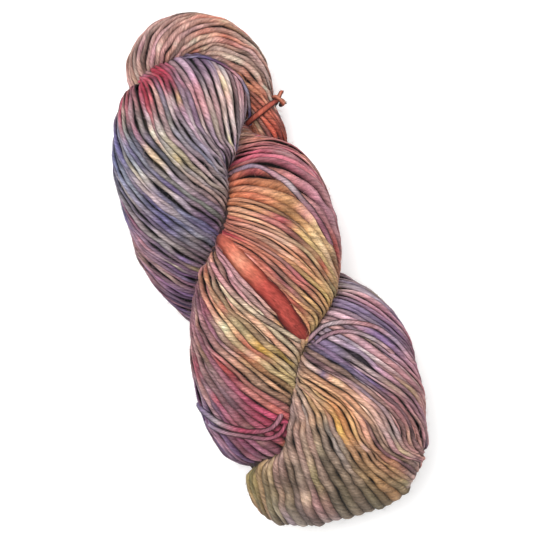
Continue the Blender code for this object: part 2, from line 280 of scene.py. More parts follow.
lowerPart = {
    "name": "lower",
    "rows": [
        (14, -98, -6, 20, 14, -60, 0.030, 0),
        (-4, -99, -10, 24, 14, -60, 0.030, 0),
        (-21.3, -94, -2, 27, 17, -45, 0.038, 0),
        (-29.8, -80, 10, 29.5, 20, -28, 0.042, 0.010),
        (-28, -58, 15, 33, 21, -20, 0.036, 0.022),
        (-17, -30, 16, 38, 22, -22, 0.026, 0.006),
        (1, 2, 19, 38, 24, -24, 0.035, 0),
        (10, 25, 15, 35, 22, -20, 0.070, -0.045),
        (12, 43, 5, 30, 19, -8, 0.065, -0.020),
        (4, 62, -9, 26, 16, 15, 0.050, 0),
        (-9, 86, -15.5, 26, 16, 30, 0.036, 0),
        (-22, 103, -14, 22, 14, 30, 0.036, 0),
        (-27, 114, -6, 14, 10, 20, 0.036, 0),
    ],
    "strands": 44,
    "fillers": [(1, 3, 3.5, 4.3)],
    "evenness": [(0, 0.6), (3, 0.5), (5, 0.15)],
    "evenRow": 5.6,
    "crowding": [(0, 1.0)],
    "bundles": 5,
    "groove": 1.5,
    "overlap": 1.22,
    "seed": 23,
    "base": "mauve",
    "strength": 1.0,
    "speckles": 380,
    "speckleDyes": ["raspberry", "coral", "cream", "gold", "petal", "rose", "brick", "shell"],
    "splashes": [
        # the shoulder that comes from behind the upper part
        (4, 61, 5, "pink"), (12, 60, 4, "pink"), (15, 69, 5, "blush"), (20, 63, 4, "pink"),
        (28, 62, 5, "rosewood"), (24, 52, 4, "rosewood"), (35, 51, 4, "raspberry"), (35, 40, 4, "rose"),
        (5, 57, 3, "mauve"), (19, 57, 4, "raspberry"), (23, 42, 4, "rosewood"), (32, 40, 5, "rose"),
        (40, 38, 5, "shell"), (35, 28, 4, "mauve"), (40, 18, 6, "rosewood"), (35, 13, 4, "mauve"),
        (39, 4, 5, "mauve"), (35, -7, 4, "rosewood"), (29, 28, 3, "mauve"),
        # the orange face
        (-5, 50, 5, "coral"), (1, 48, 4, "coral"), (6, 51, 3, "orange"), (4, 60, 2.5, "mauve"),
        (12, 57, 2.5, "mauve"), (22, 49, 3, "mauve"), (-10, 43, 4, "orange"), (-1, 44, 5, "coral"),
        (9, 46, 5, "orange"), (-13, 36, 5, "coral", 1.5), (-6, 31, 5, "salmon"),
        (-15, 28, 3.5, "crimson", 1.5), (-10, 22, 4, "salmon"), (-5, 12, 4, "coral"),
        (0, 36, 5, "salmon"), (10, 38, 5, "peach"), (17, 38, 4, "amber"), (21, 30, 4, "gold"),
        (24, 22, 4, "amber"), (27, 12, 5, "straw"), (28, 0, 6, "straw"), (25, -11, 5, "straw"),
        (20, -20, 5, "butter"), (12, -27, 5, "butter"), (14, -34, 4, "tan"), (0, 27, 5, "peach"),
        (8, 24, 5, "blush"), (3, 30, 4, "peach"), (15, 18, 5, "peach"), (19, 7, 4, "straw"),
        (3, 12, 5, "blush"), (4, 3, 4, "coral"), (10, 4, 4, "shell"), (10, -8, 3, "raspberry"),
        (5, -8, 4, "shell"), (16, -6, 4, "coral"), (15, -16, 5, "peach"), (5, -22, 4, "peach"),
        (1, -2, 4, "coral"),
        # its left side
        (-21, 15, 4, "rose"), (-23, 5, 4, "rose"), (-17, 2, 3, "rose"), (-31, -2, 4, "butter"),
        (-28, -14, 5, "cream"), (-23, -14, 4, "pear"), (-17, -14, 4, "cream"), (-12, -10, 4, "rose"),
        (-26, -28, 5, "pear"), (-17, -28, 4, "salmon"), (-12, -35, 4, "cream"), (-33, -20, 4, "cream"),
        (-30, -38, 5, "tan"), (-23, -48, 6, "tan"), (-16, -52, 5, "greige"), (-12, -54, 4, "pear"),
        (-20, -60, 4, "tan"), (-37, -5, 4, "rosewood"), (-43, -8, 4, "mauve"), (-42, -20, 4, "mauve"),
        (-45, -32, 4, "rosewood"), (-39, -32, 2.2, "raspberry", 4), (-36, -48, 2.4, "raspberry", 3),
        (-26, -62, 3, "rosewood"), (-50, -20, 5, "mauve"), (-55, -35, 5, "shell"),
        # the lower left lobe
        (-50, -47, 6, "smoke"), (-57, -58, 4, "violet"), (-53, -68, 3, "violet"), (-41, -60, 5, "mauve"),
        (-34, -66, 4, "rosewood"), (-45, -76, 4, "raspberry"), (-36, -77, 4, "rosewood"),
        (-28, -73, 5, "raspberry"), (-53, -80, 5, "mauve"), (-44, -86, 5, "rosewood"),
        (-52, -89, 4, "violet"), (-35, -88, 5, "rosewood"), (-44, -96, 5, "mauve"),
    ],
    "thick": [
        (-10.5, -5, [1, 1.8, 2.2, 2.4, 2.6, 2.6, 2.4, 1.8, 1], 46,
         ["brick", "ember", "ember", "ember", "ember", "ember", "salmon", "peach", "coral"]),
        (10, 62, [1, 1.3, 1], 26, ["pink", "raspberry"]),
    ],
    "broad": [(26, 54, 6, 1.75, 55)],
    "parted": [
        (15, 50, 0.2, 0.8, 70),
        (-20, -2, 2.0, 1.0, 40),
        (-30, -40, 1.6, 1.0, 40),
    ],
}

loopEnd = {
    "name": "loop",
    "rows": [
        (-20, 96, -14, 13, 9, 30, 0.040, 0),
        (-27, 113, -7, 13, 10, 10, 0.040, 0),
        (-22, 127, -1, 14, 11, -35, 0.040, 0),
        (-6, 134, 1, 14.5, 12, -90, 0.040, 0),
        (10, 130, 1, 14, 12, -120, 0.040, 0),
        (21, 117, 1.4, 13.5, 11, -150, 0.040, 0),
        (25, 101, -1, 12, 9, -180, 0.040, 0),
        (25, 84.6, -4, 9, 7, -180, 0.040, 0),
        (24, 71, -6.3, 11, 8, -180, 0.040, 0),
        (18, 56, -12, 13, 9, -160, 0.040, 0),
    ],
    "strands": 24,
    "fillers": [],
    "evenness": [(0, 0.4)],
    "evenRow": 0,
    "crowding": [(0, 1.0)],
    "bundles": 3,
    "groove": 1.1,
    "overlap": 1.3,
    "seed": 5,
    "base": "blush",
    "strength": 0.82,
    "speckles": 120,
    "speckleDyes": ["petal", "coral", "cream", "rosewood", "rose"],
    "splashes": [
        (-31, 128, 8, "shell"), (-33, 124, 5, "taupe"), (-36, 114, 6, "shell"), (-20, 138, 8, "blush"),
        (-5, 141, 6, "shell"), (8, 139, 6, "rose"), (17, 134, 5, "amber"), (27, 131, 5, "rose"),
        (2, 131, 6, "blush"), (-15, 131, 6, "rose"), (15, 124, 7, "shell"), (22, 119, 7, "blush"),
        (32, 115, 6, "petal"), (28, 106, 6, "blush"), (35, 100, 5, "petal"), (25, 98, 5, "salmon"),
        (24, 88, 6, "salmon"), (33, 90, 4, "blush"), (20, 76, 4, "olive"), (26, 78, 5, "coral"),
        (33, 72, 6, "coral"), (28, 66, 6, "brick"),
    ],
    "thick": [],
    "broad": [],
    "parted": [],
}


def measureIn(tube, points, ownAlong=None):
    # how far out each point lies in a part's sections: under 1 is inside
    least = np.full(len(points), farAway)
    for i in range(0, len(tube["along"]), 2):
        offset = points - tube["middle"][i]
        across = offset @ tube["across"][i] / tube["wide"][i]
        through = offset @ tube["through"][i] / tube["thick"][i]
        ahead = offset @ tube["forward"][i] / min(tube["wide"][i], tube["thick"][i])
        measure = np.sqrt(across**2 + through**2 + ahead**2)
        if ownAlong is not None:
            far = np.abs(tube["along"][i] - ownAlong) > lay["ownDistance"]
            measure = np.where(far, measure, farAway)
        least = np.minimum(least, measure)
    return least


def makeTube(part):
    table = smoothRows(part["rows"], lay["ringStep"])
    rowAt = lengthsAlong(np.array(part["rows"], float)[:, :3])
    middle = table[:, :3]
    forward = unit(np.gradient(middle, axis=0))
    angle = np.radians(table[:, 5])
    level = np.stack([np.cos(angle), np.sin(angle), np.zeros(len(angle))], axis=1)
    across = unit(level - forward * (level * forward).sum(axis=1, keepdims=True))
    along = lengthsAlong(middle)
    wide, thick = table[:, 3], table[:, 4]
    mean = (wide + thick) * 1.5 - np.sqrt((3 * wide + thick) * (wide + 3 * thick)) / 2
    # spread evenly round the part, the strands cross its face at the twist that the table gives
    rows = np.interp(along, rowAt, np.arange(len(rowAt)))
    evenness = smoothed(np.interp(rows, *zip(*part["evenness"])), 40)
    pace = 1 + evenness * (wide / mean - 1)
    twist = table[:, 6] * pace
    turned = np.concatenate([[0.0], np.cumsum(0.5 * (twist[1:] + twist[:-1]) * np.diff(along))])
    return {
        "part": part,
        "middle": middle,
        "forward": forward,
        "across": across,
        "through": np.cross(forward, across),
        "bend": np.gradient(forward, axis=0) / np.gradient(along)[:, None],
        "along": along,
        "wide": wide,
        "thick": thick,
        "round": 2 * math.pi * mean,
        "turned": turned,
        "fan": table[:, 7],
        "evenness": evenness,
        "crowding": np.interp(rows, *zip(*part["crowding"])),
        "evenRing": int(round(np.interp(part["evenRow"], np.arange(len(rowAt)), rowAt) / lay["ringStep"])),
    }


def anglesRound(tube, weight):
    # where each strand sits round its section, each taking room by its weight
    total = weight.sum(axis=1, keepdims=True)
    share = (np.cumsum(weight, axis=1) - weight / 2) / total
    share = share - tube["turned"][:, None] / (2 * math.pi)
    samples = np.linspace(0.0, 2 * math.pi, 181)
    angles = np.empty_like(share)
    room = np.empty_like(share)
    for i in range(len(share)):
        wide, thick = tube["wide"][i], tube["thick"][i]
        speed = np.hypot(wide * np.sin(samples), thick * np.cos(samples))
        reached = np.concatenate([[0.0], np.cumsum((speed[1:] + speed[:-1]) / 2)])
        reached = reached / reached[-1]
        even = tube["evenness"][i]
        mixed = (1 - even) * samples / (2 * math.pi) + even * reached
        whole = np.floor(share[i])
        angles[i] = np.interp(share[i] - whole, mixed, samples)
        local = np.hypot(wide * np.sin(angles[i]), thick * np.cos(angles[i]))
        local = local * 2 * math.pi / tube["round"][i]
        room[i] = local / ((1 - even) + even * local)
    room = room * weight / total * tube["round"][:, None]
    # the right side's own pace spreads them or closes them up, from the even ring both ways
    spread = np.zeros_like(angles)
    even = min(tube["evenRing"], len(angles) - 1)
    order = [(i, i - 1) for i in range(even + 1, len(angles))]
    order += [(i, i + 1) for i in range(even - 1, -1, -1)]
    for i, before in order:
        step = tube["along"][i] - tube["along"][before]
        aside = np.cos(angles[before] + spread[before])
        spread[i] = spread[before] - tube["fan"][before] * step * aside
    gap = (np.roll(angles, -1, axis=1) - np.roll(angles, 1, axis=1)) % (2 * math.pi)
    wider = np.roll(spread, -1, axis=1) - np.roll(spread, 1, axis=1)
    room = room * (1 + wider / np.maximum(gap, 0.02)).clip(0.3, 3.0)
    return angles + spread, room


def surfaceAt(tube, angles):
    across = np.cos(angles)[..., None] * tube["across"][:, None]
    through = np.sin(angles)[..., None] * tube["through"][:, None]
    wide, thick = tube["wide"][:, None, None], tube["thick"][:, None, None]
    return across * wide + through * thick, unit(across / wide + through / thick)


def pressedShare(tube, others, reach):
    # the largest share of each reach at which no other part is nearer to the point
    rings, count = reach.shape[:2]
    ownAlong = np.repeat(tube["along"], count)

    def crowded(share):
        points = (tube["middle"][:, None] + reach * share[..., None]).reshape(-1, 3)
        least = measureIn(tube, points, ownAlong)
        for other in others:
            least = np.minimum(least, measureIn(other, points))
        return least.reshape(rings, count) < share

    full = np.ones((rings, count))
    pressed = crowded(full)
    low, high = np.where(pressed, 0.0, 1.0), full
    for _ in range(7):
        half = (low + high) / 2
        much = crowded(half)
        high = np.where(much & pressed, half, high)
        low = np.where(~much & pressed, half, low)
    return np.where(pressed, low, 1.0)


def helixOf(tube, angles):
    # how much of a strand's run is along the part
    reach, _ = surfaceAt(tube, angles)
    slope = unit(np.gradient(tube["middle"][:, None] + reach, axis=0))
    return np.abs((slope * tube["forward"][:, None]).sum(axis=2)).clip(0.3, 1.0)


def nearestStrand(tube, angles, x, y):
    # the ring and the strand of the upper side that are nearest to a place
    reach, outward = surfaceAt(tube, angles)
    points = tube["middle"][:, None] + reach
    away = np.hypot(points[..., 0] - x, points[..., 1] - y)
    away = np.where(outward[..., 2] > 0.25, away, np.inf)
    return np.unravel_index(np.argmin(away), away.shape)


def patch(along, count, ring, strand, length, reach, powers):
    # 1 at a strand's ring, falling off along it and over the strands beside it
    away = (np.arange(count) - strand + count / 2) % count - count / 2
    near = np.exp(-(((along - along[ring]) / length) ** powers[0]))
    return near[:, None] * np.exp(-((away / reach) ** powers[1]))[None, :]


def layStrands(tube, others):
    part = tube["part"]
    rng = np.random.default_rng(part["seed"])
    along = tube["along"]
    group = part["fillers"][0][1] if part["fillers"] else 1
    count = round(part["strands"] * group / (group - len(part["fillers"])))
    least = lay["leastRisen"]
    even = 1.0 + drift(rng, along, count, lay["unevenRoom"])
    risen = np.ones((len(along), count))
    rounds = [np.arange(first, count, every) for first, every, _, _ in part["fillers"]]
    for fillers in rounds:
        risen[:, fillers] = least
    for fillers, (_, _, low, high) in zip(rounds, part["fillers"]):
        angles, room = anglesRound(tube, even * risen)
        pitch = room * helixOf(tube, angles) / np.maximum(risen, 0.5)
        pitch = (pitch[:, fillers - 1] + pitch[:, (fillers + 1) % count]) / 2 * tube["crowding"][:, None]
        risen[:, fillers] = smoothed(smoothstep(pitch, low, high), 12).clip(least, 1.0)
    weight = even * risen
    angles, _ = anglesRound(tube, weight)
    for x, y, reach, gain, length in part["broad"]:
        inReach = patch(along, count, *nearestStrand(tube, angles, x, y), length, reach, (4, 6))
        weight = weight * (1 + (gain - 1) * inReach)
        for fillers in rounds:
            risen[:, fillers] = (risen * (1 - inReach))[:, fillers].clip(least, 1.0)
            weight[:, fillers] = (weight * (1 - inReach))[:, fillers].clip(least, None)
    angles, _ = anglesRound(tube, weight)
    hollow = np.zeros((len(along), count))
    for x, y, depth, reach, length in part["parted"]:
        ring, strand = nearestStrand(tube, angles, x, y)
        hollow += depth * patch(along, count, ring, strand, length, reach, (4, 2))
    own, ownPlace, ownShare = np.zeros((3, len(along), count))
    for number, (x, y, gains, length, _) in enumerate(part["thick"], start=1):
        ring, strand = nearestStrand(tube, angles, x, y)
        place = np.clip((along - along[ring]) / length / 2 + 0.5, 0.0, 1.0)
        gain = np.interp(place, np.linspace(0, 1, len(gains)), gains)
        weight[:, strand] *= smoothed(gain, 20)
        own[:, strand] = number
        ownPlace[:, strand] = place
        ownShare[:, strand] = smoothstep(np.minimum(place, 1 - place), 0.04, 0.16)
    angles, room = anglesRound(tube, weight)
    reach, outward = surfaceAt(tube, angles)
    bendInward = (reach * tube["bend"][:, None]).sum(axis=2)
    bent = np.where(bendInward > 1e-6, lay["bendShare"] / np.maximum(bendInward, 1e-6), farAway)
    pressed = pressedShare(tube, others, reach)
    share = np.minimum(np.minimum(pressed, bent), 1.0)
    surface = tube["middle"][:, None] + reach * share[..., None]
    slope = unit(np.gradient(surface, axis=0))
    helix = np.abs((slope * tube["forward"][:, None]).sum(axis=2)).clip(0.3, 1.0)
    radius = 0.5 * part["overlap"] * room * helix * share
    radius = smoothed(np.clip(radius, lay["thinnest"], lay["thickest"]), 6)
    radius = radius * (1 + drift(rng, along, count, lay["unevenYarn"]))
    # grooves between the bundles turn with the strands
    turn = (np.cumsum(weight, axis=1) - weight / 2) / weight.sum(axis=1, keepdims=True)
    place = (turn * part["bundles"]) % 1.0
    hollow = hollow + part["groove"] * (1.0 - np.sin(math.pi * place) ** 0.45)
    inset = radius + hollow + drift(rng, along, count, lay["unevenDepth"]) + lay["fillerDepth"] * (1 - risen)
    size = np.linalg.norm(reach, axis=2)
    inner = np.maximum(share - 0.6 * radius / size, lay["closest"])
    pulled = tube["middle"][:, None] + reach * inner[..., None]
    sunk = surface - outward * inset[..., None]
    free = smoothstep(share, 0.9, 0.99)[..., None]
    centre = smoothed(sunk * free + pulled * (1 - free), 5)
    wander = drift(rng, along, count, lay["sideways"], sharedWaves)
    centre = centre + np.cross(slope, outward) * wander[..., None]
    centre = centre + outward * drift(rng, along, count, lay["upAndDown"])[..., None]
    centre[..., 2] = np.maximum(centre[..., 2], floorHeight + radius)
    forward = unit(np.gradient(centre, axis=0))
    return {
        "tube": tube,
        "centre": centre,
        "radius": radius,
        "outward": unit(outward - forward * (outward * forward).sum(axis=2, keepdims=True)),
        "forward": forward,
        "shown": (pressed > lay["keptDepth"]) & (bent > lay["keptBend"]) & (risen > 2 * least),
        "own": own,
        "ownPlace": ownPlace,
        "ownShare": ownShare,
        "rng": rng,
    }


# how the dyes lie on the strands
dyeing = {
    "baseShare": 0.01,
    "stretch": 2,  # how much longer a splash is along the strands
    "strandShift": [(5.0, 70.0)],
    "splashUnevenness": 0.75,
    "brightness": 0.07,
    "brightWave": 60.0,
    "brightByStrand": 0.7,
    "flecks": [(0.08, 9.0), (0.08, 3.6)],
    "tint": 0.028,
    "tints": [(14.0, (0.6, -0.5, -0.3)), (22.0, (0.3, 0.1, -1.0))],  # wave lengths and shifts of colour
    # a speckle's length and reach over the strands beside it, and how strong it is
    "speckleLength": (2.0, 6.5),
    "speckleReach": (0.3, 1.1),
    "speckleShare": (0.25, 0.85),
}


def dyeColour(name):
    value = dyes[name]
    return np.array([int(value[i : i + 2], 16) / 255 for i in (0, 2, 4)])


def toLinear(colour):
    return np.where(colour <= 0.04045, colour / 12.92, ((colour + 0.055) / 1.055) ** 2.4)


def inWool(colour):
    # what the material is given for a colour that shows on the wool
    return toLinear(colour.clip(0.02, 0.97)) * np.array(wool["depthOfDye"])


def dyeRamp(names, at):
    # the dyes in turn; at runs from 0 to 1
    ramp = np.array([dyeColour(name) for name in names])
    steps = np.linspace(0.0, 1.0, len(names))
    return np.stack([np.interp(at, steps, ramp[:, c]) for c in range(3)], axis=-1)


def splashedDye(part, x, y, slopeX, slopeY, gains):
    total = np.full(x.shape, dyeing["baseShare"])
    colour = dyeColour(part["base"]) * total[..., None]
    for gain, (splashX, splashY, reach, name, *stretch) in zip(gains, part["splashes"]):
        awayX, awayY = x - splashX, y - splashY
        along = (awayX * slopeX + awayY * slopeY) / (stretch[0] if stretch else dyeing["stretch"])
        across = awayX * slopeY - awayY * slopeX
        strength = np.exp(-0.5 * ((along / reach) ** 2 + (across / reach) ** 2)) * gain
        total = total + strength
        colour = colour + strength[..., None] * dyeColour(name)
    return colour / total[..., None]


def speckled(part, along, colour):
    # drops of other dyes, each on a strand and a little on those beside it
    rng = np.random.default_rng(part["seed"] + 2000)
    count = colour.shape[1]
    for _ in range(part["speckles"]):
        ring, strand = rng.integers(0, len(along)), rng.integers(0, count)
        length, reach = rng.uniform(*dyeing["speckleLength"]), rng.uniform(*dyeing["speckleReach"])
        share = patch(along, count, ring, strand, length, reach, (2, 2))[..., None]
        share = share * rng.uniform(*dyeing["speckleShare"])
        name = part["speckleDyes"][rng.integers(0, len(part["speckleDyes"]))]
        colour = colour * (1 - share) + dyeColour(name) * share
    return colour


def dyeStrands(strands):
    tube, rng = strands["tube"], strands["rng"]
    part, along = tube["part"], tube["along"]
    count = strands["radius"].shape[1]
    centre, forward = strands["centre"], strands["forward"]
    flat = np.maximum(np.hypot(forward[..., 0], forward[..., 1]), 0.2)
    slopeX, slopeY = forward[..., 0] / flat, forward[..., 1] / flat
    shift = drift(rng, along, count, dyeing["strandShift"])
    splashRng = np.random.default_rng(part["seed"] + 1000)
    gains = np.exp(dyeing["splashUnevenness"] * splashRng.normal(0, 1, (len(part["splashes"]), count)))
    x = centre[..., 0] + slopeX * shift
    y = centre[..., 1] + slopeY * shift
    front = splashedDye(part, x, y, slopeX, slopeY, gains)
    # the underside has the same dyes, mirrored from left to right
    middleX = tube["middle"][:, None, 0]
    back = splashedDye(part, 2 * middleX - x, y, -slopeX, slopeY, gains)
    faceUp = smoothstep(strands["outward"][..., 2], -0.5, -0.1)[..., None]
    colour = speckled(part, along, front * faceUp + back * (1 - faceUp))
    for number, (_, _, _, _, names) in enumerate(part["thick"], start=1):
        share = (strands["ownShare"] * (strands["own"] == number))[..., None]
        colour = colour * (1 - share) + dyeRamp(names, strands["ownPlace"]) * share
    bright = waves(rng, along, count, dyeing["brightWave"]) + rng.normal(0, dyeing["brightByStrand"], count)
    bright = 1 + dyeing["brightness"] * bright + drift(rng, along, count, dyeing["flecks"])
    tints = [waves(rng, along, count, wave)[..., None] * np.array(shift) for wave, shift in dyeing["tints"]]
    colour = colour * (1 + dyeing["tint"] * sum(tints))
    strands["dye"] = inWool(colour * bright[..., None]) * part["strength"]


# how the wool looks
wool = {
    "depthOfDye": (0.55, 0.515, 0.50),
    "mottle": 0.3,
    "streak": 0.32,
    "bump": 0.45,  # millimetres, like the next one and the plies' depth
    "knobs": 0.8,
    "plies": 3.0,
    "plyDepth": 0.32,
    "plyShade": 0.16,
    "plyWander": 2.2,
    "roughness": 0.88,
    "sheen": 0.07,
    # painted shade on the sides of a strand, where its neighbours shade it, with its colour deepened there,
    # and a painted highlight on its crest
    "gapShade": 0.06,
    "crestHighlight": 1.5,
    "gapDepth": 0.95,
    "shadeFrom": 0.3,
}


def asObject(name, data):
    obj = bpy.data.objects.new(name, data)
    bpy.context.scene.collection.objects.link(obj)
    return obj


def putDye(mesh, colour, fibres):
    # the dye, on the strands with their painted shade and highlight baked in, with how much the plies show
    # as its alpha, and the lie of the fibres
    layer = mesh.attributes.new("dye", "FLOAT_COLOR", "POINT")
    layer.data.foreach_set("color", colour.astype(np.float32).ravel())
    layer = mesh.attributes.new("fibre", "FLOAT_VECTOR", "POINT")
    layer.data.foreach_set("vector", fibres.astype(np.float32).ravel())


def makePiece(name, points, faces, colour, fibres):
    mesh = bpy.data.meshes.new(name)
    mesh.from_pydata(((points - hankMiddle) * mm).tolist(), [], faces)
    putDye(mesh, colour, fibres)
    return asObject(name, mesh)


def roundStrands(name, runs, sides):
    # a closed tube for each run of rings
    points, faces, caps, colours, fibres = [], [], [], [], []
    turn = np.arange(sides) * 2 * math.pi / sides
    # painted shade on each strand's sides and a painted highlight on its crest, baked into its colour
    openness = smoothstep(np.cos(turn), wool["shadeFrom"], 1.0)[None, :, None]
    light = wool["gapShade"] + (wool["crestHighlight"] - wool["gapShade"]) * openness
    first = 0
    for run in runs:
        rings, radius = len(run["radius"]), run["radius"][:, None]
        side = np.cross(run["forward"], run["outward"])
        shape = np.cos(turn)[None, :, None] * run["outward"][:, None]
        shape = shape + np.sin(turn)[None, :, None] * side[:, None]
        points.append((run["centre"][:, None] + shape * radius[..., None]).reshape(-1, 3))
        twisted = turn[None, :] + run["along"][:, None] * 2 * math.pi / run["fibreTurn"]
        length = np.repeat(run["along"][:, None] + run["offset"], sides, axis=1)
        fibre = np.stack([length, np.cos(twisted) * radius, np.sin(twisted) * radius], axis=2)
        fibres.append(fibre.reshape(-1, 3))
        shaded = run["dye"][:, None] ** (1 + wool["gapDepth"] * (1 - openness)) * light
        plied = np.broadcast_to(run["plied"][:, None, None], (rings, sides, 1))
        colours.append(np.concatenate([shaded, plied], axis=2).reshape(-1, 4))
        low = first + np.arange(rings - 1)[:, None] * sides + np.arange(sides)[None, :]
        after = first + np.arange(rings - 1)[:, None] * sides + (np.arange(sides)[None, :] + 1) % sides
        faces.append(np.stack([low, after, after + sides, low + sides], axis=2).reshape(-1, 4))
        last = first + (rings - 1) * sides
        caps.append([first + j for j in range(sides)][::-1])
        caps.append([last + j for j in range(sides)])
        first += rings * sides
    faces = np.concatenate(faces).tolist() + caps
    obj = makePiece(name, np.concatenate(points), faces, np.concatenate(colours), np.concatenate(fibres))
    obj.data.polygons.foreach_set("use_smooth", np.ones(len(faces), bool))
    obj.data.update()
    return obj


def makeRun(centre, radius, outward, colour, plied, offset, along=None, fibreTurn=lay["fibreTurn"]):
    # the rings of one strand from its middle line, with roughly which way is out
    forward = unit(np.gradient(centre, axis=0))
    return {
        "centre": centre,
        "radius": radius,
        "outward": unit(outward - forward * (outward * forward).sum(axis=1, keepdims=True)),
        "forward": forward,
        "dye": inWool(colour),
        "plied": np.full(len(centre), plied),
        "along": lengthsAlong(centre) if along is None else along,
        "fibreTurn": fibreTurn,
        "offset": offset,
    }


def strandRuns(strands):
    # the stretches of each strand that show, closed off a little way under their neighbours
    runs = []
    for strand in range(strands["radius"].shape[1]):
        shown = strands["shown"][:, strand].copy()
        for _ in range(3):
            shown[1:] |= shown[:-1]
            shown[:-1] |= shown[1:]
        edges = np.flatnonzero(np.diff(np.concatenate([[0], shown.astype(int), [0]])))
        for start, end in zip(edges[::2], edges[1::2]):
            if end - start < lay["fewestRings"]:
                continue
            run = {key: strands[key][start:end, strand] for key in ("centre", "outward", "forward", "dye")}
            run["radius"] = strands["radius"][start:end, strand].copy()
            for ring, share in enumerate(lay["endRadius"]):
                run["radius"][[ring, -1 - ring]] *= share
            run["plied"] = 1.0 - strands["ownShare"][start:end, strand]
            run["along"] = strands["tube"]["along"][start:end]
            run["fibreTurn"] = lay["fibreTurn"]
            run["offset"] = 37.0 * strand  # sets its fibres apart from its neighbours'
            runs.append(run)
    return runs


# how much finer each noise is along the fibre and to its two sides, and its other sockets
fibreNoise = {
    "streaks": ((0.42, 2.2, 2.2), {"Detail": 3.0, "Roughness": 0.6}),
    "mottles": ((0.22, 0.5, 0.5), {"Detail": 2.0, "Roughness": 0.5}),
    "plies": ((0.45, 0.45, 0.45), {"Detail": 1.0, "Roughness": 0.5}),
}


def woolMaterial(name, paintedShade=1.0):
    material = bpy.data.materials.new(name)
    material.use_nodes = True
    nodes, links = material.node_tree.nodes, material.node_tree.links

    def node(kind, sockets, **settings):
        made = nodes.new("ShaderNode" + kind)
        for key, value in settings.items():
            setattr(made, key, value)
        for key, value in sockets.items():
            if isinstance(value, bpy.types.NodeSocket):
                links.new(value, made.inputs[key])
            else:
                made.inputs[key].default_value = value
        return made

    def maths(operation, left, right=0.0):
        return node("Math", {0: left, 1: right}, operation=operation).outputs["Value"]

    def noise(finer, sockets):
        place = node("Mapping", {"Vector": fibre, "Scale": finer}).outputs["Vector"]
        return node("TexNoise", {"Vector": place, "Scale": 1.0, **sockets}).outputs["Fac"]

    def scaled(colour, factor):
        return node("VectorMath", {0: colour, "Scale": factor}, operation="SCALE").outputs["Vector"]

    def around(source, amount):
        low, high = paintedShade * (1 - amount), paintedShade * (1 + amount)
        sockets = {"Value": source, "From Min": 0.3, "From Max": 0.7, "To Min": low, "To Max": high}
        return node("MapRange", sockets).outputs["Result"]

    # the dye attribute carries the strands' painted shade and highlight along with their dye
    dye = node("Attribute", {}, attribute_name="dye").outputs
    fibre = node("Attribute", {}, attribute_name="fibre").outputs["Vector"]
    streaks = noise(*fibreNoise["streaks"])
    mottles = noise(*fibreNoise["mottles"])
    # the plies wind round the strand, with painted shade in the grooves between them and painted light on
    # their ridges, besides their bump
    parts = node("SeparateXYZ", {"Vector": fibre}).outputs
    winding = maths("ARCTAN2", parts["Z"], parts["Y"])
    winding = maths("ADD", winding, maths("MULTIPLY", noise(*fibreNoise["plies"]), wool["plyWander"]))
    plies = maths("ABSOLUTE", maths("COSINE", maths("MULTIPLY", winding, wool["plies"])))
    lit = maths("ADD", maths("MULTIPLY", plies, 2 * wool["plyShade"]), -wool["plyShade"])
    lit = maths("ADD", maths("MULTIPLY", lit, dye["Alpha"]), 1.0)
    colour = scaled(dye["Color"], around(streaks, wool["streak"]))
    colour = scaled(scaled(colour, around(mottles, wool["mottle"])), lit)
    height = maths("MULTIPLY", maths("MULTIPLY", plies, dye["Alpha"]), wool["plyDepth"])
    height = maths("ADD", height, maths("MULTIPLY", streaks, wool["bump"]))
    height = maths("ADD", height, maths("MULTIPLY", mottles, wool["knobs"]))
    bump = node("Bump", {"Strength": 1.0, "Distance": mm, "Height": height})
    shader = nodes["Principled BSDF"]
    links.new(colour, shader.inputs["Base Color"])
    links.new(bump.outputs["Normal"], shader.inputs["Normal"])
    shader.inputs["Roughness"].default_value = wool["roughness"]
    shader.inputs["Specular IOR Level"].default_value = 0.15
    shader.inputs["Sheen Weight"].default_value = wool["sheen"]
    shader.inputs["Sheen Roughness"].default_value = 0.5
    return material


def finishPiece(obj, material):
    obj.data.materials.clear()
    obj.data.materials.append(material)
    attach(obj, "root")
    return obj


# how deep the inside lies under the strands, and how much painted shade darkens it
inside = {"depth": 4.0, "rounds": 9, "step": 0.8, "within": 0.86, "shade": 0.45}


def buildStrands(material):
    tubes = [makeTube(part) for part in (upperPart, lowerPart, loopEnd)]
    pieces, everyStrand = [], []
    for tube in tubes:
        strands = layStrands(tube, [other for other in tubes if other is not tube])
        dyeStrands(strands)
        runs = strandRuns(strands)
        everyStrand.append(strands)
        # a long part is several pieces
        rings = np.array([len(run["radius"]) for run in runs])
        bins = (np.cumsum(rings) * lay["sides"] * 2 / lay["mostTriangles"]).astype(int)
        for number in range(bins.max() + 1):
            chosen = [run for run, at in zip(runs, bins) if at == number]
            obj = roundStrands(f"{tube['part']['name']}_strands_{number + 1}", chosen, lay["sides"])
            pieces.append(finishPiece(obj, material))
        print(tube["part"]["name"], "part:", len(runs), "runs,", rings.sum(), "rings")
    return pieces, everyStrand, tubes


